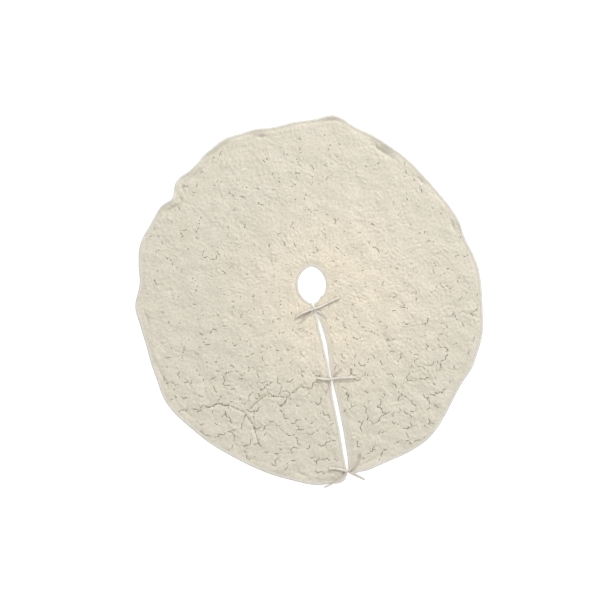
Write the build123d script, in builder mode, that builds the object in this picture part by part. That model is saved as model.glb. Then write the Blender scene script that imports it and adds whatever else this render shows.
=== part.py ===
"""A round quilted tree skirt, laid flat: a padded cloth disc with a trunk opening near its middle,
a slit from the opening to the hem, a bound edge all round, and three pairs of tapes tied in bows.

Frame: millimetres, +Z up. The origin is on the floor under the centre of the outline. The slit
runs from the opening towards -Y. The front half, the two flaps beside the slit, folds up and back
over the back half about a crease along X.
"""

import os
from math import cos, radians, sin, tan

from build123d import *

os.makedirs("parts", exist_ok=True)

# ---------------------------------------------------------------- outline
hem_half_width = 592  # half the skirt's size across the slit
hem_half_length = 626  # half the skirt's size along the slit
fold_gap = 0.4  # clear space at the crease between the two halves
least_crease_y = 0  # the front half folds over here, hem to hem, where the first bow leaves room

# ---------------------------------------------------------------- trunk opening
opening_width = 97
opening_length = 132
opening_centre = (20, 53)
opening_lean = 8  # degrees that its long axis leans towards +X at the back

# ---------------------------------------------------------------- cloth layers, bottom to top
backing_thickness = 1.2
batting_thickness = 6.4
face_thickness = 1.4
cloth_height = backing_thickness + batting_thickness + face_thickness

# ---------------------------------------------------------------- binding: tape folded over the raw edges
binding_width = 9
binding_ply = 0.6

# ---------------------------------------------------------------- slit
neck_tie_drop = 18.6  # from the opening's front tip to the first tie
middle_tie_spacing = 249  # from the first tie to the second
hem_tie_inset = 24  # from the hem to the third
neck_gap = 2  # how far apart the flaps stand at each tie
middle_gap = 2
hem_gap = 7
upper_slit_gap = 10  # and half way between the ties, where they bow apart
lower_slit_gap = 11
neck_tie_x = 12
upper_slit_x = 24
middle_tie_x = 22.5
lower_slit_x = 23
hem_tie_x = 18

# ---------------------------------------------------------------- ties
tape_width = 8
tape_thickness = 0.8
root_reach = 15  # from the slit's middle to the sewn end of a tape
neck_bow_reach = 30  # room kept behind the first knot, so that the crease clears its bow
loop_lift = 1.4  # from the cloth to the underside of a bow's loop
loop_height = 4  # the two plies of a flattened loop and the air between them
knot_width = 14
knot_length = 12
knot_height = 8
knot_round = 3
tack_width = 2
tack_inset = 2
tack_thickness = 0.4

opening_tip = (
    opening_centre[0] - opening_length / 2 * sin(radians(opening_lean)),
    opening_centre[1] - opening_length / 2 * cos(radians(opening_lean)),
)
neck_tie_y = opening_tip[1] - neck_tie_drop
middle_tie_y = neck_tie_y - middle_tie_spacing
hem_tie_y = hem_tie_inset - hem_half_length
crease_y = max(least_crease_y, neck_tie_y + neck_bow_reach)  # the crease clears the first bow
past_hem = -2 * hem_half_length  # any y beyond the outline

# Where each bow's strands run, seen from above. Loops are measured from the knot's middle, and
# tails from half a tape's width to their own side of it.
bows = {
    "neck": {
        "knot": (neck_tie_x, neck_tie_y),
        "left_loop": [(0, 0), (-22, -2), (-46, -7), (-67, -15)],
        "left_tail": [(0, 0), (-8, -12), (-29, -23), (-54, -38)],
        "right_loop": [(0, 0), (28, 5), (62, 15), (94, 23)],
        "right_tail": [(0, 0), (8, -12), (23, -23), (34, -41)],
    },
    "middle": {
        "knot": (middle_tie_x, middle_tie_y),
        "left_loop": [(0, 0), (-24, 5), (-47, 13)],
        "left_tail": [(0, 0), (-3, -14), (-9, -28), (-21, -41)],
        "right_loop": [(0, 0), (28, 0), (57, -5), (85, -9)],
        "right_tail": [(0, 0), (6, 11), (20, 16), (39, 26)],
    },
    "hem": {
        "knot": (hem_tie_x, hem_tie_y),
        "left_loop": [(0, 0), (-17, 8), (-38, 17), (-61, 21)],
        "left_tail": [(0, 0), (-12, -13), (-40, -26), (-64, -36), (-87, -42)],
        "right_loop": [(0, 0), (22, 8), (41, 24), (50, 38), (53, 52)],
        "right_tail": [(0, 0), (9, -13), (25, -24), (48, -42)],
    },
}


def opening_area(margin):
    """The trunk opening, grown outwards by margin: the overlap of two equal circles."""
    half_width = opening_width / 2
    radius = ((opening_length / 2) ** 2 + half_width**2) / opening_width
    with BuildSketch() as area:
        with Locations(opening_centre):
            with Locations(Rotation(0, 0, -opening_lean)):
                with Locations((radius - half_width, 0)):
                    Circle(radius + margin)
                with Locations((half_width - radius, 0)):
                    Circle(radius + margin, mode=Mode.INTERSECT)
    return area.sketch


def slit_area(margin):
    """The gap between the flaps, each edge moved sideways into the cloth by margin."""
    with BuildSketch() as area:
        with BuildLine():
            for way in (-1, 1):
                neck_x = neck_tie_x + way * (neck_gap / 2 + margin)
                upper_x = upper_slit_x + way * (upper_slit_gap / 2 + margin)
                middle_x = middle_tie_x + way * (middle_gap / 2 + margin)
                lower_x = lower_slit_x + way * (lower_slit_gap / 2 + margin)
                hem_x = hem_tie_x + way * (hem_gap / 2 + margin)
                Line((neck_tie_x, opening_centre[1]), (neck_x, opening_centre[1]))
                Line((neck_x, opening_centre[1]), (neck_x, neck_tie_y))
                ThreePointArc(
                    (neck_x, neck_tie_y),
                    (upper_x, (neck_tie_y + middle_tie_y) / 2),
                    (middle_x, middle_tie_y),
                )
                ThreePointArc(
                    (middle_x, middle_tie_y),
                    (lower_x, (middle_tie_y + hem_tie_y) / 2),
                    (hem_x, hem_tie_y),
                )
                Line((hem_x, hem_tie_y), (hem_x, past_hem))
                Line((hem_x, past_hem), (hem_tie_x, past_hem))
        make_face()
    return area.sketch


def hem_area(margin):
    """Everything inside the hem, less a strip of width margin."""
    with BuildSketch() as area:
        Ellipse(hem_half_width - margin, hem_half_length - margin)
    return area.sketch


def half_area(side):
    """The half plane that a side of the skirt lies in: back, or left and right of the slit."""
    way = 1 if side == "back" else -1
    size = 3 * hem_half_length
    with BuildSketch() as area:
        with Locations((0, crease_y + way * (size + fold_gap) / 2)):
            Rectangle(size, size)
    return area.sketch


def cloth_area(side, margin):
    """One side's cloth, kept back from every bound edge by margin."""
    with BuildSketch() as area:
        add(hem_area(margin))
        add(opening_area(margin), mode=Mode.SUBTRACT)
        add(slit_area(margin), mode=Mode.SUBTRACT)
        add(half_area(side), mode=Mode.INTERSECT)
    lobes = area.sketch.faces().sort_by(Axis.X)
    return lobes[-1] if side == "right" else lobes[0]


def band_area(side, outer, inner, at_hem):
    """The strip of one side between two margins: along the hem, or along the slit and opening."""
    with BuildSketch() as area:
        add(cloth_area(side, outer))
        add(cloth_area(side, inner), mode=Mode.SUBTRACT)
        add(hem_area(binding_width), mode=Mode.SUBTRACT if at_hem else Mode.INTERSECT)
    return area.sketch


def strand_route(start, steps):
    """A tape's route on plan: straight runs joined by arcs as large as the runs allow."""
    points = [(start[0] + dx, start[1] + dy) for dx, dy in steps]
    runs = [Vector(*b) - Vector(*a) for a, b in zip(points, points[1:])]
    radii = []
    for before, after in zip(runs, runs[1:]):
        half_turn = radians(before.get_angle(after) / 2)
        radii.append(0.45 * min(before.length, after.length) / tan(half_turn))
    return points, radii


pieces = {}


def keep(builder, name):
    """Label a finished piece and write its file."""
    builder.part.label = name
    export_step(builder.part, f"parts/{name}.step")
    pieces[name] = builder.part


# ---------------------------------------------------------------- cloth: backing, batting and face
for side in ("back", "left", "right"):
    # The backing lies on the floor, and is rebated below for the binding's lower leg.
    with BuildPart() as backing:
        with BuildSketch():
            add(cloth_area(side, binding_width))
        extrude(amount=binding_ply)
        with BuildSketch(Plane.XY.offset(binding_ply)):
            add(cloth_area(side, binding_ply))
        extrude(amount=backing_thickness - binding_ply)
    keep(backing, f"backing_fabric_{side}")

    with BuildPart() as batting:
        with BuildSketch(Plane.XY.offset(backing_thickness)):
            add(cloth_area(side, binding_ply))
        extrude(amount=batting_thickness)
    keep(batting, f"batting_{side}")

    # The face cloth lies on the batting, and is rebated above for the binding's upper leg.
    with BuildPart() as face:
        with BuildSketch(Plane.XY.offset(cloth_height - face_thickness)):
            add(cloth_area(side, binding_ply))
        extrude(amount=face_thickness - binding_ply)
        with BuildSketch(Plane.XY.offset(cloth_height - binding_ply)):
            add(cloth_area(side, binding_width))
        extrude(amount=binding_ply)
    keep(face, f"face_fabric_{side}")

# ---------------------------------------------------------------- binding: a U round the three layers
for side in ("back", "left", "right"):
    inner_name = "neck_binding_back" if side == "back" else f"slit_binding_{side}"
    for at_hem, name in ((True, f"hem_binding_{side}"), (False, inner_name)):
        with BuildPart() as binding:
            with BuildSketch():
                add(band_area(side, 0, binding_ply, at_hem))
            extrude(amount=cloth_height)
            with BuildSketch():
                add(band_area(side, binding_ply, binding_width, at_hem))
            extrude(amount=binding_ply)
            with BuildSketch(Plane.XY.offset(cloth_height - binding_ply)):
                add(band_area(side, binding_ply, binding_width, at_hem))
            extrude(amount=binding_ply)
        keep(binding, name)

# ---------------------------------------------------------------- ties: a knot and two tapes at each place
for place, bow in bows.items():
    knot_x, knot_y = bow["knot"]

    with BuildPart() as knot:
        with BuildSketch(Plane.XY.offset(cloth_height)):
            with Locations(bow["knot"]):
                RectangleRounded(knot_width, knot_length, knot_round)
        extrude(amount=knot_height)
        fillet(knot.faces().sort_by(Axis.Z)[-1].edges(), knot_round - tape_thickness)
    keep(knot, f"{place}_knot")

    for hand, way in (("left", -1), ("right", 1)):
        with BuildPart() as tape:
            # The sewn end, from the flap's edge into the knot.
            with BuildSketch(Plane.XY.offset(cloth_height)):
                with Locations((knot_x + way * root_reach / 2, knot_y)):
                    Rectangle(root_reach, tape_width)
            extrude(amount=tape_thickness)
            # The tail, flat on the cloth, starts beside the other hand's tail inside the knot.
            tail_start = (knot_x + way * tape_width / 2, knot_y)
            points, radii = strand_route(tail_start, bow[f"{hand}_tail"])
            print(f"{place} {hand} tail: bend radii {[round(r) for r in radii]} mm")
            with BuildSketch(Plane.XY.offset(cloth_height)):
                with BuildLine():
                    FilletPolyline(*points, radius=radii)
                trace(line_width=tape_width)
            extrude(amount=tape_thickness)
            # The flattened loop, lying over the sewn end.
            points, radii = strand_route(bow["knot"], bow[f"{hand}_loop"])
            print(f"{place} {hand} loop: bend radii {[round(r) for r in radii]} mm")
            with BuildSketch(Plane.XY.offset(cloth_height + loop_lift)):
                with BuildLine():
                    FilletPolyline(*points, radius=radii)
                trace(line_width=tape_width)
            extrude(amount=loop_height)
            # What is inside the knot is part of the knot.
            add(knot.part, mode=Mode.SUBTRACT)
        keep(tape, f"{place}_tie_{hand}")

# ---------------------------------------------------------------- bar tacks: stitching across each sewn end
with BuildPart() as tacks:
    for bow in bows.values():
        for way in (-1, 1):
            tack_x = bow["knot"][0] + way * (root_reach - tack_inset - tack_width / 2)
            with BuildSketch(Plane.XY.offset(cloth_height + tape_thickness)):
                with Locations((tack_x, bow["knot"][1])):
                    Rectangle(tack_width, tape_width)
            extrude(amount=tack_thickness)
keep(tacks, "tie_bar_tacks")

print(f"{len(pieces)} pieces, cloth {2 * hem_half_width} x {2 * hem_half_length} x {cloth_height} mm")
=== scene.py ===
# %% [markdown]
# # A quilted tree skirt
# The real skirt is a padded cloth disc about 1.2 m across. It has a face cloth, a layer of wadding
# and a plain backing, sewn together along a crackled net of metallic thread. A narrow tape binds
# the hem, the slit and the trunk opening, and three pairs of thin tapes tie the slit shut.
# The CAD model fixes the size, the opening, the slit and the crease that the front folds about.
# Here each of those plain layers gets a soft piece of its own.

import bpy
import numpy as np
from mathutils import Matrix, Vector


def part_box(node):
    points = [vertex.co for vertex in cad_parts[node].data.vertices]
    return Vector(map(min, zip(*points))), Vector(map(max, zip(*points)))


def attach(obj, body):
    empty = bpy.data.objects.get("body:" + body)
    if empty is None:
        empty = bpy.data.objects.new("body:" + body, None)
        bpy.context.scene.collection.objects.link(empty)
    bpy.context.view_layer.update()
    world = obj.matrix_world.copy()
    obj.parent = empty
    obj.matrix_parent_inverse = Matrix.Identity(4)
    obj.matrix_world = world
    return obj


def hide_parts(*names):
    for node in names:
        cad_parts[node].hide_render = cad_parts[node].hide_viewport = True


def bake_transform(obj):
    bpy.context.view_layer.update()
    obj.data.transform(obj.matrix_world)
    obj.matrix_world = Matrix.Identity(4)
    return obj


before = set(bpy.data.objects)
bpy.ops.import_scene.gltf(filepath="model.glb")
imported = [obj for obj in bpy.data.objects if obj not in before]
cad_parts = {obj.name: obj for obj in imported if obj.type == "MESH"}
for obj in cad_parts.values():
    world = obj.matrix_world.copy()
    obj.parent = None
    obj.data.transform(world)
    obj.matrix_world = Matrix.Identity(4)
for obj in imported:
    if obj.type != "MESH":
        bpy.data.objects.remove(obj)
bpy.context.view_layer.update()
scene = bpy.context.scene

# %% [markdown]
# ## Sizes
# A size that the CAD model holds is read from its boxes. What a box can't give, such as the shape
# of the opening, is named here in metres.

# %% Sizes and places
MM = 0.001
HALF_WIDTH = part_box("hem_binding_back")[1].x
HALF_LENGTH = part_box("hem_binding_back")[1].y
CLOTH_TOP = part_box("face_fabric_back")[1].z
BINDING_WIDTH = 9 * MM
OPENING_CENTRE = np.array([20, 53]) * MM
OPENING_WIDTH = 97 * MM
OPENING_LENGTH = 132 * MM
OPENING_LEAN = np.radians(8)


def box_middle(node):
    low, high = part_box(node)
    return np.array((low + high) / 2)


PLACES = ("neck", "middle", "hem")
KNOT = {place: box_middle(f"{place}_knot") for place in PLACES}
OPENING_AXIS = np.array([np.sin(OPENING_LEAN), np.cos(OPENING_LEAN)])
OPENING_TIP = OPENING_CENTRE - OPENING_AXIS * OPENING_LENGTH / 2
print("knots", {place: tuple(np.round(p, 4)) for place, p in KNOT.items()})

# %% [markdown]
# ## Camera, light and floor
# The skirt is looked at from straight above, with its slit turned a little anticlockwise.
# A long lens high up keeps the outline true, and rolling the camera turns the slit.
# The floor is plain and nearly white. One wide soft light leans in from behind the skirt, so
# wrinkles that run across the slit show a bright and a dark side, and a pale world fills the rest.

# %% Camera
CAMERA_HEIGHT = 4.0
VIEW_WIDTH = 2.078
VIEW_CENTRE = (-0.031, 0.009)
VIEW_ROLL = np.radians(-11)

camera_data = bpy.data.cameras.new("camera")
camera_data.lens = camera_data.sensor_width * CAMERA_HEIGHT / VIEW_WIDTH
camera = bpy.data.objects.new("camera", camera_data)
camera.location = (*VIEW_CENTRE, CAMERA_HEIGHT)
camera.rotation_euler = (0, 0, VIEW_ROLL)
scene.collection.objects.link(camera)
scene.camera = camera

# %% Lights and world
scene.view_settings.view_transform = "Standard"


def soft_light(name, location, size, watts, colour):
    """A square area light at location, aimed at the skirt's middle."""
    data = bpy.data.lights.new(name, "AREA")
    data.energy = watts
    data.size = size
    data.color = colour
    light = bpy.data.objects.new(name, data)
    light.location = location
    aim = -light.location
    light.rotation_mode = "QUATERNION"
    light.rotation_quaternion = aim.to_track_quat("-Z", "Y")
    scene.collection.objects.link(light)


soft_light("key_light", (3.3, 3.8, 3.0), 1.5, 212, (1.0, 0.985, 0.965))
soft_light("fill_light", (-1.6, -2.6, 3.6), 2.6, 20, (0.96, 0.98, 1.0))
world = bpy.data.worlds.new("studio")
world.use_nodes = True
world.node_tree.nodes["Background"].inputs["Color"].default_value = (0.97, 0.98, 1.0, 1)
world.node_tree.nodes["Background"].inputs["Strength"].default_value = 0.745
scene.world = world

# %% [markdown]
# ## Shader arithmetic
# A finish is easier to read as a sum than as a web of nodes. `Value` wraps one node output, and
# its operators add Math nodes. `Finish` owns a material and adds every other node by its type,
# its settings and what goes into its sockets.

# %% Value and Finish


class Value:
    """One output of a shader node. Arithmetic on it adds Math nodes to its finish."""

    def __init__(self, finish, socket):
        self.finish = finish
        self.socket = socket

    def _calc(self, operation, *terms):
        return self.finish.add("ShaderNodeMath", {"operation": operation}, dict(enumerate(terms)))

    def __add__(self, other):
        return self._calc("ADD", self, other)

    def __sub__(self, other):
        return self._calc("SUBTRACT", self, other)

    def __rsub__(self, other):
        return self._calc("SUBTRACT", other, self)

    def __mul__(self, other):
        return self._calc("MULTIPLY", self, other)

    def wave(self):
        """The sine of the value."""
        return self._calc("SINE", self)

    def step(self, low, high):
        """0 below low, 1 above high, and a smooth rise between them."""
        settings = {"interpolation_type": "SMOOTHSTEP"}
        inputs = {"Value": self, "From Min": low, "From Max": high}
        return self.finish.add("ShaderNodeMapRange", settings, inputs)

    __radd__ = __add__
    __rmul__ = __mul__


class Finish:
    """A material made of one Principled shader and the nodes that feed it."""

    def __init__(self, name, **constants):
        self.material = bpy.data.materials.new(name)
        self.material.use_nodes = True
        self.tree = self.material.node_tree
        self.shader = self.tree.nodes["Principled BSDF"]
        for socket, value in constants.items():
            self.shader.inputs[socket.replace("_", " ")].default_value = value

    def add(self, kind, settings=None, inputs=None, output=0):
        """Add a node: its settings first, then its sockets, and give one output back."""
        node = self.tree.nodes.new(kind)
        for name, value in (settings or {}).items():
            setattr(node, name, value)
        for name, value in (inputs or {}).items():
            if isinstance(value, Value):
                self.tree.links.new(value.socket, node.inputs[name])
            else:
                node.inputs[name].default_value = value
        return Value(self, node.outputs[output])

    def feed(self, socket, value):
        self.tree.links.new(value.socket, self.shader.inputs[socket])

    def place(self):
        """Where a point is on the cloth as cut, in metres: it stays put when the cloth folds."""
        return self.add("ShaderNodeUVMap", {"uv_map": "cut"})

    def stretched(self, vector, scale):
        """The vector with its axes scaled, for grain that is longer one way."""
        return self.add("ShaderNodeMapping", {}, {"Vector": vector, "Scale": scale})

    def noise(self, vector, size, detail=2.0, roughness=0.5):
        """Smooth noise from 0 to 1, with lumps of about this size in metres."""
        inputs = {"Vector": vector, "Scale": 1 / size, "Detail": detail, "Roughness": roughness}
        return self.add("ShaderNodeTexNoise", {}, inputs)

    def blend(self, factor, first, second):
        """The first colour where factor is 0 and the second where it is 1."""
        settings = {"data_type": "RGBA"}
        return self.add("ShaderNodeMix", settings, {0: factor, 6: first, 7: second}, 2)

    def bump(self, height, depth, strength=1.0):
        """Feed Normal from a height of 0 to 1 that stands for depth metres."""
        inputs = {"Height": height, "Distance": depth, "Strength": strength}
        self.feed("Normal", self.add("ShaderNodeBump", {}, inputs))


def colour(red, green, blue):
    """A screen colour from 0 to 255 as the linear one that a shader takes."""
    screen = np.array([red, green, blue]) / 255
    linear = np.where(screen <= 0.04045, screen / 12.92, ((screen + 0.055) / 1.055) ** 2.4)
    return (*linear, 1.0)


# %% Floor
floor_paint = Finish("floor_paint", Roughness=0.9)
floor_paint.shader.inputs["Base Color"].default_value = (0.9, 0.9, 0.9, 1)
floor_paint.shader.inputs["Emission Color"].default_value = (1, 1, 1, 1)
floor_paint.shader.inputs["Emission Strength"].default_value = 0.42
bpy.ops.mesh.primitive_plane_add(size=30, location=(0, 0, 0))
floor = bpy.context.object
floor.name = "floor"
floor.data.materials.append(floor_paint.material)

# %% [markdown]
# ## The cut of the cloth
# Every layer is the same shape seen from above, so one function gives it. Its two numbers are s,
# from the slit's right side round to its left side, and t, from the opening out to the hem.
# Straight spokes join the opening to the hem, and near the slit they are pulled onto its edges.
# The hem is an oval with soft bumps, because loose cloth never lies in a true circle.

# %% Opening, hem and slit
BOW_RADIUS = ((OPENING_LENGTH / 2) ** 2 + (OPENING_WIDTH / 2) ** 2) / OPENING_WIDTH
BOW_OFFSET = BOW_RADIUS - OPENING_WIDTH / 2
TIP_ROUNDING = 0.02  # softens the two tips of the opening
# A flat in the opening's edge, right of the slit: angle and half width in degrees, and depth.
FLAT_ANGLE, FLAT_SPREAD, FLAT_DEPTH = -66, 12, 5.5 * MM

# Each bump of the hem: its angle and half width in degrees, and its height in millimetres.
HEM_BUMPS = (
    (-91.5, 2.5, 9), (-86, 3, -8), (-78, 7, -8), (-60, 9, 12), (-42, 8, -7), (-33, 4, 6), (-22, 9, 14),
    (-7, 6, 4), (0, 5, 4), (11, 6, -10), (34, 15, -17), (52, 5, -5), (71, 5, 25), (90, 6, -12),
    (102.5, 3, -3), (106, 5, 10), (115, 2.5, 4), (119, 4, -6), (122.5, 2, -4), (126, 4, 6),
    (132, 3, -20), (145, 5, -5), (149, 8, 18), (163, 4, -6), (171, 4, 9), (185, 7, -8), (196, 5, -5),
    (205, 9, 10), (216, 8, -3), (235, 13, -13), (262, 6, 12),
)

# The slit from front to back: how far along, and the gap there, in millimetres.
SLIT_Y = np.array([-700, -615, -602, -580, -545, -350, -300, -275, -240, -165, -105, -60, -34, -18]) * MM
SLIT_GAP = np.array([8, 8, 8, 9, 12.5, 12.5, 8, 6.5, 4, 11, 10.5, 4, 2, 6]) * MM
SLIT_LINE_Y = np.array([-640, -602, -560, -450, -350, -270, -210, -150, -75, -31, 0]) * MM
SLIT_LINE_X = np.array([17, 18.5, 21.5, 24.3, 23.3, 22.5, 24.5, 25, 19, 12, 11.5]) * MM
CORNER_RADIUS = 16 * MM


def turn_between(angle, other):
    """The turn in degrees from other to angle, from -180 to 180."""
    return (np.degrees(angle) - other + 180) % 360 - 180


def bell(angle, place, spread):
    """A bump one high at a place given in degrees: e^-(turn / spread)²."""
    return np.exp(-((turn_between(angle, place) / spread) ** 2))


def opening_edge(angle):
    """The opening's edge along a ray from its centre: where the ray leaves the overlap of two
    circles of radius R set o either side: sqrt(R² - (o sin a)²) - o |cos a|, in leaning axes."""
    leaning = angle + OPENING_LEAN
    across = np.sqrt(np.cos(leaning) ** 2 + TIP_ROUNDING)
    reach = np.sqrt(BOW_RADIUS**2 - (BOW_OFFSET * np.sin(leaning)) ** 2) - BOW_OFFSET * across
    reach = reach - FLAT_DEPTH * bell(angle, FLAT_ANGLE, FLAT_SPREAD)
    ray = np.stack([np.cos(angle), np.sin(angle)], -1)
    return OPENING_CENTRE + reach[..., None] * ray


def hem_radius(angle):
    """Distance from the middle to the hem: an ellipse's polar radius plus a bell for each bump."""
    radius = 1 / np.hypot(np.cos(angle) / HALF_WIDTH, np.sin(angle) / HALF_LENGTH)
    for place, spread, height in HEM_BUMPS:
        radius = radius + height * MM * bell(angle, place, spread)
    return radius


def eased(x, stations, values):
    """Values joined by curves that are level at each station."""
    index = np.clip(np.searchsorted(stations, x) - 1, 0, len(stations) - 2)
    share = np.clip((x - stations[index]) / (stations[index + 1] - stations[index]), 0, 1)
    share = share * share * (3 - 2 * share)
    return values[index] * (1 - share) + values[index + 1] * share


def slit_middle(y):
    """Where the slit's centre line is at y."""
    return np.interp(y, SLIT_LINE_Y, SLIT_LINE_X)


def slit_half_gap(y):
    """Half the gap between the flaps at y."""
    return eased(y, SLIT_Y, SLIT_GAP) / 2


SLIT_REACH = 0.03  # the share of the way round over which spokes are pulled to the slit
TIP_GAP = np.radians(1.2)
TIP_ANGLE = np.arctan2(*(OPENING_TIP - OPENING_CENTRE)[::-1])
HEM_ANGLE = np.arctan2(-HALF_LENGTH, slit_middle(-HALF_LENGTH))
HEM_GAP = slit_half_gap(-HALF_LENGTH) / HALF_LENGTH


def cloth_plan(s, t):
    """Plan position of cloth point (s, t): a straight spoke from the opening to the hem, moved
    sideways near the slit by how far its first or last spoke misses the slit's edge."""
    s, t = np.broadcast_arrays(np.asarray(s, float), np.asarray(t, float))
    round_turn = 2 * np.pi
    inner_angle = TIP_ANGLE + TIP_GAP + s * (round_turn - 2 * TIP_GAP)
    outer_angle = HEM_ANGLE + HEM_GAP + s * (round_turn - 2 * HEM_GAP)
    inner = opening_edge(inner_angle)
    from_slit = np.minimum(s, 1 - s) * round_turn * HALF_LENGTH
    corner = np.clip(1 - from_slit / CORNER_RADIUS, 0, 1)
    outer_radius = hem_radius(outer_angle) - CORNER_RADIUS * (1 - np.sqrt(1 - corner**2))
    outer = outer_radius[..., None] * np.stack([np.cos(outer_angle), np.sin(outer_angle)], -1)
    plan = inner + (outer - inner) * t[..., None]

    side = np.where(s < 0.5, 1.0, -1.0)
    first_inner = opening_edge(TIP_ANGLE + side * TIP_GAP)
    first_outer = np.stack([slit_middle(-HALF_LENGTH) + side * HEM_GAP * HALF_LENGTH, outer[..., 1]], -1)
    spoke = first_inner + (first_outer - first_inner) * t[..., None]
    edge_x = slit_middle(spoke[..., 1]) + side * slit_half_gap(spoke[..., 1])
    pull = np.exp(-((np.minimum(s, 1 - s) / SLIT_REACH) ** 2))
    plan[..., 0] += (edge_x - spoke[..., 0]) * pull
    return plan[..., 0], plan[..., 1]


def edge_distance(x, y):
    """How far a point on the cloth is from the nearest bound edge: hem, opening or slit."""
    to_hem = hem_radius(np.arctan2(y, x)) - np.hypot(x, y)
    dx, dy = x - OPENING_CENTRE[0], y - OPENING_CENTRE[1]
    across = dx * np.cos(OPENING_LEAN) - dy * np.sin(OPENING_LEAN)
    along = dx * np.sin(OPENING_LEAN) + dy * np.cos(OPENING_LEAN)
    to_opening = np.hypot(np.abs(across) + BOW_OFFSET, along) - BOW_RADIUS
    sideways = np.maximum(np.abs(x - slit_middle(y)) - slit_half_gap(y), 0)
    to_slit = np.hypot(sideways, np.maximum(y - OPENING_TIP[1], 0))
    return np.minimum(to_hem, np.minimum(to_opening, to_slit))


def rise(x, low, high):
    """0 below low and 1 above high, with a smooth S between: 3u² - 2u³."""
    share = np.clip((x - low) / (high - low), 0, 1)
    return share * share * (3 - 2 * share)


# %% [markdown]
# ## Maps of the cloth
# Wrinkles and sewn lines are easiest to draw on a square map of heights, 2 mm to a cell, which
# covers the whole skirt. Blurring or filtering a map is one multiplication of its Fourier
# transform. A mesh of any density then reads its heights from the map.

# %% Map helpers
MAP_HALF = 0.68
MAP_CELL = 2 * MM
MAP_SIZE = int(2 * MAP_HALF / MAP_CELL)
wave_axes = np.fft.fftfreq(MAP_SIZE, MAP_CELL), np.fft.rfftfreq(MAP_SIZE, MAP_CELL)
wave_x, wave_y = np.meshgrid(*wave_axes, indexing="ij")
wave_number, wave_heading = np.hypot(wave_x, wave_y), np.arctan2(wave_y, wave_x)
random = np.random.default_rng(24)


def filtered(field, gain):
    """The map with each wave length scaled by gain."""
    return np.fft.irfft2(np.fft.rfft2(field) * gain, s=field.shape)


def blurred(field, radius):
    """The map blurred by a bell of this radius: gain exp(-2 (pi r f)²)."""
    return filtered(field, np.exp(-2 * (np.pi * radius * wave_number) ** 2))


def waves(length, heading=None):
    """Random waves of about this length, with a spread of one: a ring of wave numbers, or with a
    heading only the two arcs of the ring that face it."""
    gain = np.exp(-((wave_number * length - 1) / 0.8) ** 2)
    if heading is not None:
        gain = gain * np.exp(-((np.sin(wave_heading - heading) / 0.42) ** 2))
    field = filtered(random.standard_normal((MAP_SIZE, MAP_SIZE)), gain)
    return field / field.std()


def wrinkles(length, patch_length):
    """Waves that keep one heading within a patch: six headings, each faded in and out."""
    total = 0
    for heading in np.arange(6) * np.pi / 6:
        total = total + waves(length, heading) * rise(waves(patch_length), -0.2, 1.3)
    return total / total.std()


def between_cells(field, column, row):
    """The grid's value between its cells, mixed from the four around."""
    i, j = column.astype(int), row.astype(int)
    u, v = column - i, row - j
    near = field[i, j] * (1 - v) + field[i, j + 1] * v
    far = field[i + 1, j] * (1 - v) + field[i + 1, j + 1] * v
    return near * (1 - u) + far * u


def read_map(field, x, y):
    """The map's value at x, y."""
    cells = [np.clip((place + MAP_HALF) / MAP_CELL, 0, MAP_SIZE - 1.001) for place in (x, y)]
    return between_cells(field, *cells)


def drawn(starts, ends):
    """A map with a thin line of height one from each start to each end."""
    share = np.linspace(0, 1, 24)[None, :, None]
    dots = (starts[:, None] + (ends - starts)[:, None] * share).reshape(-1, 2)
    cells = ((dots + MAP_HALF) / MAP_CELL).astype(int)
    inside = ((cells >= 0) & (cells < MAP_SIZE)).all(1)
    field = np.zeros((MAP_SIZE, MAP_SIZE))
    field[tuple(cells[inside].T)] = 1
    return field


# %% [markdown]
# ## The crackled quilting
# The three layers are held together by zigzag lines of metallic thread that split the cloth into
# uneven cells about 60 mm wide. They could be drawn by hand, but there are hundreds.
# A honeycomb net has the right look once its corners are shaken, some of its sides are left
# out, and each side is broken into three short runs like a crack.

# %% Net of sewn lines
CELL = 58 * MM
SHAKE = 15 * MM
CRACK = 5.6 * MM
SWAY = 12 * MM  # a slow sideways wave, so that the cells don't stand in rows
SIDES_KEPT = 0.86
NET_MARGIN = 11 * MM  # how far the net keeps from every bound edge


def quilting_net():
    """Cracked sides of a shaken honeycomb, as an array of sides by four corners by x and y."""
    columns, rows = np.meshgrid(np.arange(-26, 27), np.arange(-18, 19), indexing="ij")
    lattice = np.stack([columns + rows / 2, rows * np.sqrt(3) / 2], -1) * CELL
    lattice[..., 0] += SWAY * np.sin(lattice[..., 1] * 21)
    first = lattice + random.normal(0, SHAKE / 2, lattice.shape)
    second = lattice + np.array([0.5, np.sqrt(3) / 6]) * CELL + random.normal(0, SHAKE / 2, lattice.shape)
    start = np.concatenate([first[1:, 1:].reshape(-1, 2)] * 3)
    end = np.concatenate([g.reshape(-1, 2) for g in (second[1:, 1:], second[:-1, 1:], second[1:, :-1])])
    run = end - start
    aside = np.stack([-run[:, 1], run[:, 0]], -1) / np.linalg.norm(run, axis=1)[:, None]
    lean = random.uniform(0.5, 1.2, (len(run), 2)) * CRACK * np.array([1, -1])
    lean *= np.where(random.random(len(run)) < 0.5, -1, 1)[:, None]
    corners = np.stack([
        start,
        start + run * 0.33 + aside * lean[:, :1],
        start + run * 0.67 + aside * lean[:, 1:],
        end,
    ], 1)
    kept = random.random(len(run)) < SIDES_KEPT
    return corners[kept & (edge_distance(*np.moveaxis(corners, -1, 0)) > NET_MARGIN).all(1)]


net = quilting_net()
run_starts, run_ends = net[:, :-1].reshape(-1, 2), net[:, 1:].reshape(-1, 2)
sewn = drawn(run_starts, run_ends)
sewn_length = np.linalg.norm(run_ends - run_starts, axis=1).sum()
print(len(net), "sewn sides,", round(sewn_length, 1), "m of quilting")

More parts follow.
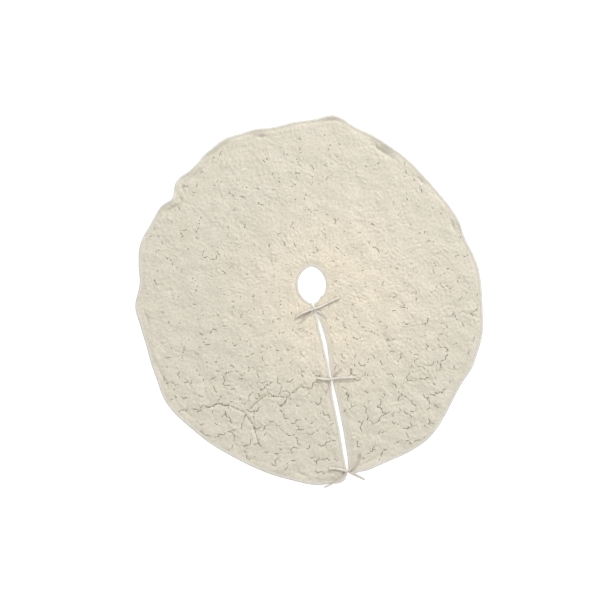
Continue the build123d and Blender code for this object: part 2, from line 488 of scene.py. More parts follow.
# %% [markdown]
# ## Puckers from a cloth simulation
# Between sewn lines the face cloth has a little spare width, so it puffs up and puckers. The
# solver finds those shapes better than a formula does. A square of cloth lies on the map with
# every point near a sewn line pinned, the cloth is told to grow a few percent, and a light
# pressure from the wadding lifts it. The heights that it settles at become another map.

# %% Simulate the square of cloth
SWATCH_CELL = 7 * MM
GROWTH = 0.045
PIN_RADIUS = 2.6 * MM
SETTLING_FRAMES = 16


def mesh_object(name, points, faces):
    """A mesh object from arrays: points n by 3, and faces as rows of four corner numbers."""
    mesh = bpy.data.meshes.new(name)
    mesh.vertices.add(len(points))
    mesh.vertices.foreach_set("co", np.ascontiguousarray(points, np.float32).ravel())
    mesh.loops.add(faces.size)
    mesh.loops.foreach_set("vertex_index", faces.astype(np.int32).ravel())
    mesh.polygons.add(len(faces))
    mesh.polygons.foreach_set("loop_start", np.arange(len(faces), dtype=np.int32) * faces.shape[1])
    mesh.update(calc_edges=True)
    mesh.validate()
    made = bpy.data.objects.new(name, mesh)
    scene.collection.objects.link(made)
    return made


def grid_faces(rows, columns, first=0):
    """Corner numbers of a grid's four-sided faces, as rows of four."""
    number = np.arange(rows * columns).reshape(rows, columns) + first
    corners = (number[:-1, :-1], number[1:, :-1], number[1:, 1:], number[:-1, 1:])
    return np.stack(corners, -1).reshape(-1, 4)


def puckered_swatch():
    """Settled heights of the pinned square, as a map."""
    side = int(2 * MAP_HALF / SWATCH_CELL)
    line = np.linspace(-MAP_HALF, MAP_HALF, side)
    x, y = np.meshgrid(line, line, indexing="ij")
    start_height = 0.3 * MM * random.standard_normal(x.shape)
    flat = np.stack([x, y, start_height], -1).reshape(-1, 3)
    swatch = mesh_object("swatch", flat, grid_faces(side, side))
    near_line = blurred(sewn, PIN_RADIUS)
    pinned = read_map(near_line, x, y).ravel() > 0.35 * near_line.max()
    group = swatch.vertex_groups.new(name="sewn")
    group.add(np.nonzero(pinned)[0].tolist(), 1.0, "REPLACE")
    cloth = swatch.modifiers.new("cloth", "CLOTH").settings
    cloth.quality = 4
    cloth.mass = 0.25
    cloth.tension_stiffness = cloth.compression_stiffness = 12
    cloth.shear_stiffness = 4
    cloth.bending_stiffness = 0.15
    cloth.shrink_min = -GROWTH
    cloth.use_pressure = True
    cloth.uniform_pressure_force = 1.2
    cloth.effector_weights.gravity = 0
    cloth.vertex_group_mass = group.name
    for frame_number in range(1, SETTLING_FRAMES + 1):
        scene.frame_set(frame_number)
    settled = swatch.evaluated_get(bpy.context.evaluated_depsgraph_get())
    points = np.empty(side * side * 3, np.float32)
    settled.data.vertices.foreach_get("co", points)
    bpy.data.objects.remove(swatch, do_unlink=True)
    scene.frame_set(1)
    height = points.reshape(side, side, 3)[..., 2]
    print("swatch", side, "square, pinned share", round(pinned.mean(), 2))
    print("pucker height", round(height.std() / MM, 2), "mm")
    share = np.linspace(0, side - 1.001, MAP_SIZE)
    as_map = between_cells(height, *np.meshgrid(share, share, indexing="ij"))
    return np.clip(blurred(as_map, 1.6 * MM), -4 * MM, 9 * MM)


pucker = puckered_swatch()

# %% [markdown]
# ## Creases and curls
# The skirt has been folded in a packet. A long broken crease crosses the left flap, fine
# wrinkles lie everywhere, and the hem curls up a little, most of all at the back left, with a
# hollow just inside each curl. Each is a short list: where it is, how wide and how high.

# %% Relief of the face
# Creases: corners in millimetres.
CREASES = (
    [(-455, -303), (-388, -289), (-338, -303), (-289, -338)]
    + [(-250, -312), (-216, -293), (-139, -312), (-84, -284)],
    [(-290, -343), (-310, -372), (-318, -396)],
    [(-290, -343), (-272, -385), (-265, -450)],
    [(-167, -345), (-144, -321), (-136, -313)],
    [(-129, -603), (-105, -608), (-84, -606)],
    [(-385, 470), (-372, 440), (-366, 424)],
)
CREASE_RIDGE = 3.6  # millimetres
CREASE_VALLEY = 7.0
# Hem curls: angle and half width in degrees, and height in millimetres.
HEM_CURLS = (
    (-150, 6, 4), (-122, 5, 5), (-103, 4, 5), (-89.5, 1.8, 3), (-80, 6, 8), (-58, 4, 4), (-35, 7, 5),
    (17, 3, 7), (36, 4, 4), (52.8, 5, 9), (72, 4, 6), (95.3, 3, 6), (109.6, 4.5, 11), (120.5, 4, 11),
    (127.5, 2, 6), (134.4, 4.5, 12), (150, 5, 5), (175, 5, 4), (195, 5, 4),
)


def crease_map():
    """Every crease as a valley with a low ridge on each side."""
    lines = [np.array(corners) * MM for corners in CREASES]
    starts = np.concatenate([line[:-1] for line in lines])
    ends = np.concatenate([line[1:] for line in lines])
    mark = drawn(starts, ends)
    narrow, broad = blurred(mark, 3.5 * MM), blurred(mark, 11 * MM)
    return CREASE_RIDGE * broad / broad.max() - CREASE_VALLEY * narrow / narrow.max()


PUCKER_SHARE = 0.16
sewn_narrow = blurred(sewn, 1.8 * MM)
sewn_narrow /= np.quantile(sewn_narrow, 0.999)
fine = wrinkles(13 * MM, 90 * MM)
medium = wrinkles(30 * MM, 150 * MM)
large = waves(90 * MM)
folds = np.abs(wrinkles(44 * MM, 200 * MM))
ruffles = np.abs(waves(24 * MM))
crumple = 0.16 * fine - 0.55 * folds - 0.3 * ruffles + 0.7 * np.abs(medium) + 0.8 * large
# Nearer the front the sewn lines sink deeper and the cloth is more crumpled.
frontness = rise(-np.linspace(-MAP_HALF, MAP_HALF, MAP_SIZE), -0.05, 0.35)[None, :]
grooves = -(0.5 + 1.1 * frontness) * sewn_narrow
relief = pucker * PUCKER_SHARE + (grooves + crumple * (1 + 0.35 * frontness) + crease_map()) * MM
relief -= relief.mean()
print("relief from", round(relief.min() / MM, 1), "to", round(relief.max() / MM, 1), "mm")

EDGE_TOP = 7.0 * MM
FACE_LEVEL = 9.4 * MM
PAD_MINIMUM = 2.2 * MM
CURL_REACH = 30 * MM
HOLLOW_WIDTH = 5 * MM
HOLLOW_SHARE = 0.9  # how deep a hollow is beside its curl's height


def hem_lift(x, y):
    """How far the curls raise the whole cloth, a bell each that fades in from the edge, and the
    narrower hollow inside each curl."""
    angle = np.arctan2(y, x)
    inside = hem_radius(angle) - np.hypot(x, y)
    lift, hollow = np.zeros_like(x), np.zeros_like(x)
    for place, spread, height in HEM_CURLS:
        lift = lift + height * MM * bell(angle, place, spread)
        hollow = hollow + height * MM * bell(angle, place, spread / 1.7)
    from_hollow = inside - (24 + 7 * np.sin(9 * angle)) * MM
    hollow = hollow * HOLLOW_SHARE * np.exp(-((from_hollow / HOLLOW_WIDTH) ** 2))
    return lift * (1 - rise(inside, 0, CURL_REACH)), hollow


def tie_ripples(x, y):
    """Tension wrinkles that fan out from each knot and die away: cos(9 angle) e^(-r / 70 mm)."""
    ripple = np.zeros_like(x)
    for place, size in (("neck", 1.5), ("middle", 1.1), ("hem", 0.9)):
        dx, dy = x - KNOT[place][0], y - KNOT[place][1]
        away = np.hypot(dx, dy)
        fan = np.cos(9 * np.arctan2(dy, np.abs(dx)))
        ripple += size * MM * fan * np.exp(-away / 0.07) * rise(away, 0.008, 0.03)
    return ripple


def underside(x, y):
    """The height of the backing's lower face: near the floor, drawn up along sewn lines."""
    lift, _ = hem_lift(x, y)
    sewn_here = np.clip(read_map(sewn_narrow, x, y), 0, 1)
    drawn_up = 0.9 * MM * sewn_here + 0.25 * MM * np.abs(read_map(fine, x, y))
    return 0.5 * MM + lift + drawn_up * rise(edge_distance(x, y), 8 * MM, 20 * MM)


def face_height(x, y):
    """The height of the face cloth: pressed down at bound edges, puckered between them."""
    inside = edge_distance(x, y)
    lift, hollow = hem_lift(x, y)
    free = rise(inside, 5 * MM, 26 * MM)
    level = EDGE_TOP + (FACE_LEVEL - EDGE_TOP) * free
    top = level + lift - hollow + (read_map(relief, x, y) + tie_ripples(x, y)) * free
    return np.maximum(top, underside(x, y) + PAD_MINIMUM)


# %% [markdown]
# ## Closed layers
# The pad and the backing are closed shells. Both are the same grid twice, once for the upper
# face and once for the lower, joined round the rim. The plan position is kept as a UV map named
# `cut`, in metres, so a pattern stays on the cloth when the skirt is folded.

# %% Build closed shells


def smooth(made):
    made.data.polygons.foreach_set("use_smooth", np.ones(len(made.data.polygons), bool))
    return made


def set_cut(made, plan):
    """Store a plan position for each point as the UV map called cut."""
    mesh = made.data
    corner_points = np.empty(len(mesh.loops), np.int32)
    mesh.loops.foreach_get("vertex_index", corner_points)
    layer = mesh.uv_layers.new(name="cut")
    layer.data.foreach_set("uv", np.asarray(plan, np.float32)[corner_points].ravel())
    return made


def set_both_faces(made, first, second):
    """Store two grids of numbers as the UV map of both faces of a closed shell."""
    plan = np.stack(np.broadcast_arrays(first, second), -1).reshape(-1, 2)
    return set_cut(made, np.concatenate([plan, plan]))


def rim_faces(upper, lower):
    """Faces between two equal rows of corner numbers."""
    return np.stack([upper[:-1], lower[:-1], lower[1:], upper[1:]], -1)


def closed_shell(name, upper, lower):
    """Two grids of points, rows by columns by 3, joined at the rim. The upper one faces away from
    rows x columns, which for the cloth is up, and the lower one faces along it."""
    rows, columns = upper.shape[:2]
    top = np.arange(rows * columns).reshape(rows, columns)
    bottom = top + rows * columns
    faces = np.concatenate([
        grid_faces(rows, columns)[:, ::-1],
        grid_faces(rows, columns, rows * columns),
        rim_faces(top[:, -1], bottom[:, -1]),
        rim_faces(top[::-1, 0], bottom[::-1, 0]),
        rim_faces(top[0], bottom[0]),
        rim_faces(top[-1, ::-1], bottom[-1, ::-1]),
    ])
    points = np.concatenate([upper.reshape(-1, 3), lower.reshape(-1, 3)])
    return smooth(mesh_object(name, points, faces))


def cloth_layer(name, upper_height, lower_height, around, outwards):
    """A closed layer of the skirt between two height functions."""
    s, t = np.meshgrid(np.linspace(0, 1, around), np.linspace(0, 1, outwards), indexing="ij")
    x, y = cloth_plan(s, t)
    layers = [np.stack([x, y, height(x, y)], -1) for height in (upper_height, lower_height)]
    return set_both_faces(closed_shell(name, *layers), x, y)


def backing_top(x, y):
    return underside(x, y) + 1.0 * MM


def pad_bottom(x, y):
    return underside(x, y) + 1.1 * MM


quilted_face = cloth_layer("quilted_face", face_height, pad_bottom, 1201, 181)
backing_cloth = cloth_layer("backing_cloth", backing_top, underside, 451, 91)
print("quilted face", len(quilted_face.data.polygons), "faces")

# %% [markdown]
# ## Binding
# A narrow tape is folded over every raw edge and sewn through. In section it is a letter U lying
# on its side. The section is carried along the edge: each row of the grid reads the cloth's
# height above and below, so the tape follows every curl.

# %% Bound edges
TAPE_PLY = 0.6 * MM
LEG_START = 2.4 * MM  # how far in from the edge the two legs of the U begin
SECTION = 21  # points across the tape


def along(points):
    """Distance along a row of points."""
    return np.concatenate([[0], np.cumsum(np.linalg.norm(np.diff(points, axis=0), axis=1))])


def points_at(stops, line):
    """The points at these distances along a line of points."""
    run = along(line)
    return np.stack([np.interp(stops, run, axis) for axis in line.T], -1)


def evenly(line, spacing):
    """The same line with points at an even spacing."""
    length = along(line)[-1]
    return points_at(np.linspace(0, length, int(length / spacing) + 1), line)


def softened(rows, width):
    """Each row averaged with its neighbours, width either side."""
    padded = np.concatenate([rows[:1].repeat(width, 0), rows, rows[-1:].repeat(width, 0)])
    total = np.cumsum(np.concatenate([np.zeros_like(padded[:1]), padded]), 0)
    return (total[2 * width + 1 :] - total[: -2 * width - 1]) / (2 * width + 1)


def inward(edge, turn_width):
    """Unit vectors from a line of edge points into the cloth, which lies on its left."""
    forward = np.gradient(edge, axis=0)
    left = np.stack([-forward[:, 1], forward[:, 0]], -1)
    left /= np.linalg.norm(left, axis=1)[:, None]
    left = softened(left, turn_width)
    return left / np.linalg.norm(left, axis=1)[:, None]


def thick_sheet(name, grid, thickness):
    """A closed sheet: the grid of points, and a copy moved back along its normals. The copy is the
    upper one, because that is the side that faces away from rows x columns."""
    along_rows, along_columns = np.gradient(grid, axis=0), np.gradient(grid, axis=1)
    normal = np.cross(along_rows, along_columns)
    normal /= np.maximum(np.linalg.norm(normal, axis=2), 1e-9)[..., None]
    return closed_shell(name, grid - normal * thickness, grid)


def binding(name, edge, extra):
    """The U-shaped tape along an edge, standing extra metres higher than the slit's tape does. The
    section runs from the inner end of its upper leg, over a half round, to the inner end of its
    lower leg. A point's leg is 0 on the half round and grows to 1 at either inner end."""
    into = inward(edge, 4)
    run = along(edge)
    section = np.linspace(0, 1, SECTION)
    leg = np.clip(np.abs(section - 0.5) / 0.5 * 1.45 - 0.45, 0, 1)
    half_turn = np.clip((section - 0.5) / 0.31 * np.pi, -np.pi, np.pi) / 2
    bulge = 2.3 * MM * np.cos(half_turn) * (leg == 0)
    depth = LEG_START + (BINDING_WIDTH - LEG_START) * leg - bulge
    ripple = 0.16 * MM * np.sin(run / 0.0031) + 0.12 * MM * np.sin(run / 0.0074 + 1.3)
    spot = edge[:, None] + into[:, None] * depth[None, :, None]
    at_edge = edge + into * 1.6 * MM
    ceiling, ground = face_height(*at_edge.T)[:, None], underside(*at_edge.T)[:, None]
    swell = 0.5 * MM + extra + ripple[:, None]
    upper = face_height(spot[..., 0], spot[..., 1]) + swell * (1 - 0.8 * leg**6)
    lower = np.maximum(underside(spot[..., 0], spot[..., 1]) - 0.3 * MM, 0.1 * MM)
    middle, half = (ceiling + swell + ground) / 2, (ceiling + swell - ground) / 2 + 0.1 * MM
    height = np.where(leg > 0, np.where(section < 0.5, upper, lower), middle - half * np.sin(half_turn))
    height = np.maximum(height, 0.1 * MM)
    grid = np.concatenate([spot, height[..., None]], 2)
    tape = thick_sheet(name, grid[:, ::-1], TAPE_PLY)
    return set_both_faces(tape, run[:, None], section[None, ::-1] * 3 * BINDING_WIDTH)


s_round = np.linspace(0, 1, 3001)
hem_edge = evenly(np.stack(cloth_plan(s_round, np.ones(3001)), -1), 4 * MM)
t_out = np.linspace(0, 0.992, 1500)
slit_edge = np.concatenate([
    np.stack(cloth_plan(np.ones(1500), t_out), -1)[::-1],
    np.stack(cloth_plan(1 - s_round, np.zeros(3001)), -1)[1:-1],
    np.stack(cloth_plan(np.zeros(1500), t_out), -1),
])
slit_edge = evenly(slit_edge, 3 * MM)
hem_tape = binding("hem_binding_tape", hem_edge, 0.15 * MM)
slit_tape = binding("slit_binding_tape", slit_edge, 0.0)
print("hem binding", round(along(hem_edge)[-1], 2), "m")
print("slit and opening binding", round(along(slit_edge)[-1], 2), "m")

# %% [markdown]
# ## Stitches
# Sewn lines are rows of small stitches, each one a bead of thread that dips into the cloth at
# both ends. One function makes any number of them as two small rings and two tips each.

# %% Stitch maker
STITCH_POINTS = 14  # two tips and two rings of six


def stitches(name, starts, ends, width):
    """A bead of thread from each start to each end: tip, ring, ring, tip."""
    count = len(starts)
    forward = ends - starts
    length = np.linalg.norm(forward, axis=1)[:, None]
    forward = forward / length
    aside = np.cross(forward, [0, 0, 1.0])
    aside /= np.linalg.norm(aside, axis=1)[:, None]
    up = np.cross(aside, forward)
    turn = np.arange(6) / 6 * 2 * np.pi
    ring = aside[:, None] * np.cos(turn)[None, :, None] + up[:, None] * np.sin(turn)[None, :, None]
    rings = [
        starts[:, None] + (forward * length * share)[:, None] + ring * width / 2
        for share in (0.22, 0.78)
    ]
    dip = up * width * 0.45
    points = np.concatenate([(starts - dip)[:, None], rings[0], rings[1], (ends - dip)[:, None]], 1)
    near = np.arange(6)
    far = np.roll(near, -1)
    first_cap = np.stack([np.zeros(6, int), near + 1, far + 1, far + 1], -1)
    barrel = np.stack([near + 1, near + 7, far + 7, far + 1], -1)
    last_cap = np.stack([near + 7, np.full(6, 13), far + 7, far + 7], -1)
    offsets = (np.arange(count) * STITCH_POINTS)[:, None, None]
    quads = (barrel[None] + offsets).reshape(-1, 4)
    triangles = (np.concatenate([first_cap, last_cap])[None, :, :3] + offsets).reshape(-1, 3)
    mesh = bpy.data.meshes.new(name)
    mesh.from_pydata(points.reshape(-1, 3).tolist(), [], quads.tolist() + triangles.tolist())
    made = bpy.data.objects.new(name, mesh)
    scene.collection.objects.link(made)
    set_cut(made, points.reshape(-1, 3)[:, :2])
    return smooth(made)


def row_of_stitches(line, pitch, gap):
    """Starts and ends of stitches along a line of points."""
    begins = np.arange(0, along(line)[-1] - pitch, pitch)
    return [points_at(stops, line) for stops in (begins, begins + pitch - gap)]


# %% Topstitching of the bindings
TOPSTITCH_IN = 7.4 * MM


def topstitch_line(edge):
    """A line on the binding's upper leg, just outside its inner end."""
    spot = edge + inward(edge, 4) * TOPSTITCH_IN
    return np.column_stack([spot, face_height(*spot.T) + 0.75 * MM])


rows = [row_of_stitches(topstitch_line(edge), 3.4 * MM, 1.0 * MM) for edge in (hem_edge, slit_edge)]
topstitching = stitches("binding_topstitching", *(np.concatenate(side) for side in zip(*rows)), 0.6 * MM)
print("topstitching", len(topstitching.data.vertices) // STITCH_POINTS, "stitches")

# %% Quilting thread
STITCHES_IN_RUN = 3


def quilting_stitches():
    """Stitches along the sewn sides, and dark thread along the long crease and its branches as
    painted shade of the crease. More thread shows at the front."""
    share = np.arange(STITCHES_IN_RUN) / STITCHES_IN_RUN
    starts = run_starts[:, None] + (run_ends - run_starts)[:, None] * (share[:, None] + 0.02)
    ends = run_starts[:, None] + (run_ends - run_starts)[:, None] * (share[:, None] + 0.31)
    starts, ends = starts.reshape(-1, 2), ends.reshape(-1, 2)
    front = rise(-starts[:, 1], -0.05, 0.35)
    cluster = read_map(waves(110 * MM), *starts.T)
    chance = np.repeat(random.random(len(run_starts)), STITCHES_IN_RUN)
    shown = chance < 0.2 + 0.32 * front + 0.12 * cluster
    shown &= random.random(len(starts)) < 0.45 + 0.4 * front
    starts, ends = starts[shown], ends[shown]
    # Dark thread along the crease lines is painted shade of the creases' valleys.
    for corners in CREASES[:4]:
        line = evenly(np.array(corners) * MM, 5 * MM)
        crease_shade_kept = random.random(len(line) - 1) < 0.72
        starts = np.concatenate([starts, line[:-1][crease_shade_kept]])
        ends = np.concatenate([ends, (line[:-1] + 0.85 * np.diff(line, axis=0))[crease_shade_kept]])
    lifted = [np.column_stack([p, face_height(*p.T) + 0.25 * MM]) for p in (starts, ends)]
    return stitches("quilting_thread", *lifted, 2.0 * MM)


quilting_thread = quilting_stitches()
print("quilting thread", len(quilting_thread.data.vertices) // STITCH_POINTS, "stitches")

# %% [markdown]
# ## Ties
# Each closure is a bow: a left and a right tape go into one knot, and each comes out as a
# flattened loop and a loose tail. A tape is flat, so a round cord won't do. Its route is a list of
# points, smoothed by a curve, and a second list beside it says which way the tape's width points.
# The same curve smooths both, and the difference between them is the width's direction.

# %% Routes of the tapes
TAPE_WIDTH = 8 * MM
TAPE_THICKNESS = 0.7 * MM
ROOT_REACH = 15 * MM
PLY_APART = 3.4 * MM
TAIL_DROP = 13 * MM  # how far past the hem a tail reaches the floor

# Plan points in millimetres from the knot, tails from half a tape aside. The last number of each
# list is how the tape leans, in degrees: 0 lies flat and 90 stands on its edge.
BOWS = {
    "neck": {
        "left_loop": ([(-22, -2), (-46, -7), (-67, -15)], 38),
        "left_tail": ([(-8, -12), (-29, -23), (-54, -38)], -45),
        "right_loop": ([(28, 5), (62, 15), (94, 23)], -34),
        "right_tail": ([(8, -12), (23, -23), (34, -41)], 5),
    },
    "middle": {
        "left_loop": ([(-24, 5), (-47, 13)], 30),
        "left_tail": ([(-3, -14), (-9, -28), (-21, -41)], 50),
        "right_loop": ([(28, 0), (57, -5), (85, -9)], -30),
        "right_tail": ([(6, 11), (20, 16), (39, 26)], 50),
    },
    "hem": {
        "left_loop": ([(-17, 8), (-38, 17), (-61, 21)], 28),
        "left_tail": ([(-12, -13), (-40, -26), (-64, -36), (-87, -42)], -44),
        "right_loop": ([(22, 8), (41, 24), (50, 38), (53, 52)], -62),
        "right_tail": ([(9, -13), (25, -24), (48, -42)], 12),
    },
}


def smoothed_curve(points):
    """The line of a curve of order 3 through its end points, as Blender works it out."""
    curve = bpy.data.curves.new("route", "CURVE")
    curve.dimensions = "3D"
    curve.resolution_u = 10
    spline = curve.splines.new("NURBS")
    spline.points.add(len(points) - 1)
    spline.points.foreach_set("co", np.column_stack([points, np.ones(len(points))]).ravel())
    spline.order_u = 3
    spline.use_endpoint_u = True
    holder = bpy.data.objects.new("route", curve)
    scene.collection.objects.link(holder)
    bpy.context.view_layer.update()
    line = bpy.data.meshes.new_from_object(holder.evaluated_get(bpy.context.evaluated_depsgraph_get()))
    result = np.empty(len(line.vertices) * 3)
    line.vertices.foreach_get("co", result)
    bpy.data.objects.remove(holder, do_unlink=True)
    bpy.data.meshes.remove(line)
    return result.reshape(-1, 3)


def tape_route(place, hand):
    """Points of one tape, and the way its width points at each, from its sewn end to its tail."""
    way = -1 if hand == "left" else 1
    knot = KNOT[place]
    level = CLOTH_TOP + 1.4 * MM
    loop, loop_lean = BOWS[place][f"{hand}_loop"]
    tail, tail_lean = BOWS[place][f"{hand}_tail"]

    def raised(plan, height):
        return np.column_stack([knot[:2] + np.array(plan) * MM, np.broadcast_to(height, len(plan))])

    def frame_of(line, lean):
        forward = np.gradient(line[:, :2], axis=0)
        aside = np.column_stack([-forward[:, 1], forward[:, 0], np.zeros(len(line))])
        aside /= np.linalg.norm(aside, axis=1)[:, None]
        lean = np.radians(lean)
        across = aside * np.cos(lean) + np.array([0, 0, np.sin(lean)])
        return across, np.array([0, 0, np.cos(lean)]) - aside * np.sin(lean)

    root_plan = [(way * ROOT_REACH / MM, 0), (way * 9, 0), (way * 2, 0)]
    root = raised(root_plan, [level, level + 0.4 * MM, knot[2]])
    root_width = np.tile([0.0, -way, 0.0], (3, 1))
    loop_level = level + 1.4 * MM + TAPE_WIDTH / 2 * abs(np.sin(np.radians(loop_lean)))
    centre = raised([(way * 3, 0), *loop], loop_level)
    width, normal = frame_of(centre, loop_lean)
    leaving = centre - normal * PLY_APART / 2
    coming = (centre + normal * PLY_APART / 2)[::-1]
    last_step = centre[-1] - centre[-2]
    fold = centre[-1] + last_step / np.linalg.norm(last_step) * 1.5 * MM
    tail_plan = [(way * 1, 0), *[(way * 4 + dx, dy) for dx, dy in tail]]
    spots = (knot[:2] + np.array(tail_plan[1:]) * MM).T
    past_hem = np.hypot(*spots) - hem_radius(np.arctan2(spots[1], spots[0]))
    on_cloth = 1 - rise(past_hem, -1 * MM, TAIL_DROP)
    low = CLOTH_TOP * on_cloth + 0.9 * MM + TAPE_WIDTH / 2 * abs(np.sin(np.radians(tail_lean)))
    tail_line = raised(tail_plan, [knot[2], *low])
    tail_width, _ = frame_of(tail_line, tail_lean)
    route = np.concatenate([root, leaving, fold[None], coming, tail_line])
    widths = np.concatenate([root_width, width, width[-1:], width[::-1], tail_width])
    flips = np.sign((widths[1:] * widths[:-1]).sum(1))
    widths[1:] *= np.cumprod(np.where(flips == 0, 1, flips))[:, None]
    return route, widths


def ribbon(name, route, widths):
    """A flat tape along a route: points across its width, cupped a little, with real thickness."""
    line = smoothed_curve(route)
    beside = smoothed_curve(route + widths * 10 * MM)
    across = beside - line
    across /= np.linalg.norm(across, axis=1)[:, None]
    forward = np.gradient(line, axis=0)
    normal = np.cross(forward, across)
    normal /= np.linalg.norm(normal, axis=1)[:, None]
    spread = np.linspace(-1, 1, 9)
    cup = 0.35 * MM * (spread**2 - 0.4)
    aside = across[:, None] * (spread * TAPE_WIDTH / 2)[None, :, None]
    grid = line[:, None] + aside + normal[:, None] * cup[None, :, None]
    grid[..., 2] = np.maximum(grid[..., 2], 0.5 * MM)
    tape = thick_sheet(name, grid, TAPE_THICKNESS)
    set_both_faces(tape, along(line)[:, None], spread[None] * TAPE_WIDTH / 2)
    return tape, line


# %% Knots


def knot_wrap(name, centre, turned, size, width):
    """A band round a knot: an ellipse stood on edge, swept across its width and turned about the
    vertical. Its two ends nearly meet below the knot, out of sight."""
    half_turn = np.pi - 0.03
    turn = np.linspace(-half_turn, half_turn, 49) + np.pi / 2
    turn, spread = np.meshgrid(turn, np.linspace(-1, 1, 9), indexing="ij")
    bulge = 1 - 0.28 * spread**2
    x = size[0] * np.cos(turn) * bulge
    z = size[1] * np.sin(turn) * bulge
    y = spread * width / 2 * (1 + 0.12 * np.sin(2 * turn))
    c, s = np.cos(turned), np.sin(turned)
    grid = np.stack([centre[0] + c * x - s * y, centre[1] + s * x + c * y, centre[2] + z], -1)
    band = thick_sheet(name, grid[:, ::-1], 0.8 * MM)
    return set_both_faces(band, turn[:, ::-1] * size[0], y[:, ::-1])


def joined(name, parts):
    """Several mesh objects as one."""
    for part in parts:
        part.select_set(True)
    bpy.context.view_layer.objects.active = parts[0]
    bpy.ops.object.join()
    parts[0].name = parts[0].data.name = name
    parts[0].select_set(False)
    return parts[0]


bpy.ops.object.select_all(action="DESELECT")
knots = {}
for place in PLACES:
    centre = KNOT[place]
    wraps = [
        knot_wrap("wrap", centre, 0.15, (6.2 * MM, 3.4 * MM), 8.5 * MM),
        knot_wrap("wrap", centre + [0, 0, 0.3 * MM], 0.95, (6.6 * MM, 3.7 * MM), 5.5 * MM),
        knot_wrap("wrap", centre, -0.75, (6.0 * MM, 3.2 * MM), 5.0 * MM),
    ]
    knots[place] = joined(f"{place}_bow_knot", wraps)

ties, tie_lines = {}, {}
for place in PLACES:
    for hand in ("left", "right"):
        route, widths = tape_route(place, hand)
        ties[place, hand], tie_lines[place, hand] = ribbon(f"{place}_tape_{hand}", route, widths)
        print(place, hand, "tape", round(along(tie_lines[place, hand])[-1], 3), "m")

# %% [markdown]
# ## Bar tacks
# Each tape's sewn end is held by a bar tack: a short, dense bar of zigzag stitches across it.

# %% Tack stitching
TACK_THREADS = 11


def tack_rows():
    """Short stitches side by side across each tape's sewn end."""
    across = np.linspace(-3.6, 3.6, TACK_THREADS) * MM
    starts, ends = [], []
    for place in PLACES:
        for way in (-1, 1):
            x = KNOT[place][0] + way * (ROOT_REACH - 3 * MM)
            y = KNOT[place][1] + across
            height = np.full(TACK_THREADS, CLOTH_TOP + 2.1 * MM)
            starts.append(np.column_stack([np.full(TACK_THREADS, x - 1.3 * MM), y, height]))
            ends.append(np.column_stack([np.full(TACK_THREADS, x + 1.3 * MM), y + 0.35 * MM, height]))
    return np.concatenate(starts), np.concatenate(ends)


tack_stitching = stitches("tie_tack_stitching", *tack_rows(), 0.75 * MM)

# %% [markdown]
# ## Finishes
# The face is a soft cream cloth with a short pile: matt, with a little sheen, warmer round the
# opening and greyer towards the hem. Its colour is mottled at three sizes, and its fine crush and
# weave are a bump. The backing has a long faint grain that runs one way. The tapes are thin
# cool-white cotton with ribs across, and the quilting thread is dark bronze metal, with light
# patches painted into its colour as glints.

# %% Face cloth
face_finish = Finish("face_cloth", Sheen_Weight=0.25, Sheen_Roughness=0.45)
cut = face_finish.place()
centre_shift = {"Location": (-OPENING_CENTRE[0] - 0.07, -OPENING_CENTRE[1] + 0.05, 0)}
from_centre = face_finish.add("ShaderNodeMapping", {}, {"Vector": cut, **centre_shift})
distance = face_finish.add("ShaderNodeVectorMath", {"operation": "LENGTH"}, {0: from_centre}, "Value")
mottle = face_finish.noise(cut, 0.09, 4.0, 0.6)
patches = face_finish.noise(cut, 0.30, 2.0)
crush = face_finish.noise(cut, 0.008, 5.0, 0.62)
ridged = {"noise_type": "RIDGED_MULTIFRACTAL"}
ridge_inputs = {"Vector": cut, "Scale": 55.0, "Detail": 3.0, "Roughness": 0.5}  # 18 mm apart
crackle = face_finish.add("ShaderNodeTexNoise", ridged, ridge_inputs) * 0.5
nap = face_finish.noise(cut, 0.0022, 2.0)
warm = 1 - distance.step(0.05, 0.5)
warm = (warm + (patches - 0.5) * 0.6).step(0.0, 1.0)
base = face_finish.blend(warm, colour(224, 217, 202), colour(240, 228, 206))
base = face_finish.blend((mottle - 0.5) * 1.1 + 0.33, base, colour(206, 199, 180))
base = face_finish.blend(((crush - 0.5) * 1.6 + 0.5).step(0.25, 0.95) * 0.68, base, colour(190, 182, 163))
face_finish.feed("Base Color", base)
face_finish.feed("Roughness", 0.72 + nap * 0.2)
face_finish.bump(crush * 0.6 + crackle * 0.3 + nap * 0.1, 3.6 * MM, 0.9)

# %% Backing, binding, tapes and threads
backing_finish = Finish("backing_cotton", Roughness=0.9, Sheen_Weight=0.1)
cut = backing_finish.place()
plan_axes = [backing_finish.add("ShaderNodeSeparateXYZ", {}, {0: cut}, axis) for axis in ("X", "Y")]
warp, weft = [(way * (2 * np.pi / (1.4 * MM))).wave() for way in plan_axes]
weave = warp * weft * 0.5 + 0.5
slub = backing_finish.noise(backing_finish.stretched(cut, (1.0, 14.0, 1.0)), 0.03, 3.0)
backing_finish.feed("Base Color", backing_finish.blend(slub, colour(226, 219, 204), colour(212, 204, 187)))
backing_finish.bump(weave * 0.5 + slub * 0.5, 0.25 * MM, 0.6)


def tape_finish(name, light, dark, rib):
    """Narrow woven tape: ribs across its length, and a faint cloudiness."""
    finish = Finish(name, Roughness=0.7, Sheen_Weight=0.2)
    spot = finish.place()
    ribs = (finish.add("ShaderNodeSeparateXYZ", {}, {0: spot}, "X") * (2 * np.pi / rib)).wave() * 0.5 + 0.5
    cloud = finish.noise(spot, 0.018, 3.0)
    finish.feed("Base Color", finish.blend(cloud.step(0.3, 0.8), colour(*light), colour(*dark)))
    finish.bump(ribs * 0.6 + finish.noise(spot, 0.0009, 1.0) * 0.4, 0.22 * MM, 0.8)
    return finish


binding_finish = tape_finish("binding_tape", (222, 217, 208), (206, 202, 193), 1.1 * MM)
tie_finish = tape_finish("tie_tape", (222, 213, 201), (200, 191, 180), 0.9 * MM)


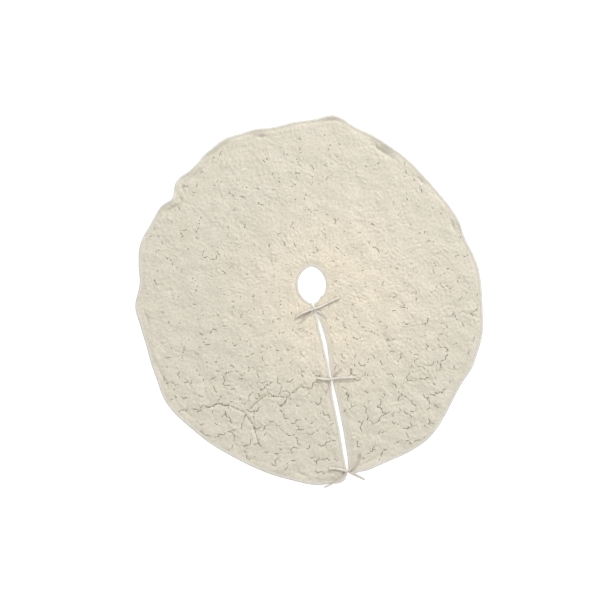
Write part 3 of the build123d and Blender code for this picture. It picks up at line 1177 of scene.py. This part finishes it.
def thread_finish(name, light, dark, metallic, roughness, twist):
    """Thread in patches of a dark and a light colour, with a fine bump. On the metal thread the light
    patches are painted glints; on plain thread they are its own lighter tone.
    """
    finish = Finish(name, Metallic=metallic, Roughness=roughness)
    spot = finish.add("ShaderNodeTexCoord", {}, {}, "Object")
    tone_and_glint = finish.noise(spot, 0.004, 2.0)
    finish.feed("Base Color", finish.blend(tone_and_glint.step(0.54, 0.72), colour(*dark), colour(*light)))
    finish.bump(finish.noise(spot, twist, 1.0), 0.12 * MM, 0.7)
    return finish


# The light colour here is painted glints on about a quarter of the thread; the dark one is the thread's
# own colour.
metal_thread_painted_glints = thread_finish("quilting_thread", (205, 186, 150), (30, 25, 20), 0.2, 0.5, 0.6 * MM)
metal_thread_painted_glints.shader.inputs["Specular IOR Level"].default_value = 0.25
sewing_thread = thread_finish("sewing_thread", (222, 214, 200), (188, 180, 166), 0.0, 0.6, 0.3 * MM)
tack_thread = thread_finish("tack_thread", (214, 204, 188), (176, 168, 150), 0.0, 0.6, 0.3 * MM)

# %% [markdown]
# ## What each piece is and how it moves
# The cloth pieces run across the crease, so they are left where they lie, on neither half. The
# bows lie wholly on the front half and ride on it. Each piece names the CAD nodes that it stands for.

# %% Hand the pieces to the frame
SIDES = ("back", "left", "right")


def nodes(*stems):
    return [f"{stem}_{side}" for stem in stems for side in SIDES]


def dress(piece, finish, replaced=()):
    """Give a piece its finish, and hide the CAD nodes it stands for."""
    piece.data.materials.clear()
    piece.data.materials.append(finish.material)
    if replaced:
        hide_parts(*replaced)


dress(quilted_face, face_finish, nodes("face_fabric", "batting"))
dress(backing_cloth, backing_finish, nodes("backing_fabric"))
dress(hem_tape, binding_finish, nodes("hem_binding"))
slit_nodes = ["neck_binding_back", "slit_binding_left", "slit_binding_right"]
dress(slit_tape, binding_finish, slit_nodes)
dress(topstitching, sewing_thread)
dress(quilting_thread, metal_thread_painted_glints)
dress(tack_stitching, tack_thread, ["tie_bar_tacks"])
for piece in (quilted_face, backing_cloth, hem_tape, slit_tape, topstitching, quilting_thread):
    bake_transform(piece)
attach(tack_stitching, "front_half")
for place in PLACES:
    dress(knots[place], tie_finish, [f"{place}_knot"])
    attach(knots[place], "front_half")
    for hand in ("left", "right"):
        tape, line = ties[place, hand], tie_lines[place, hand]
        dress(tape, tie_finish, [f"{place}_tie_{hand}"])
        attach(tape, "front_half")
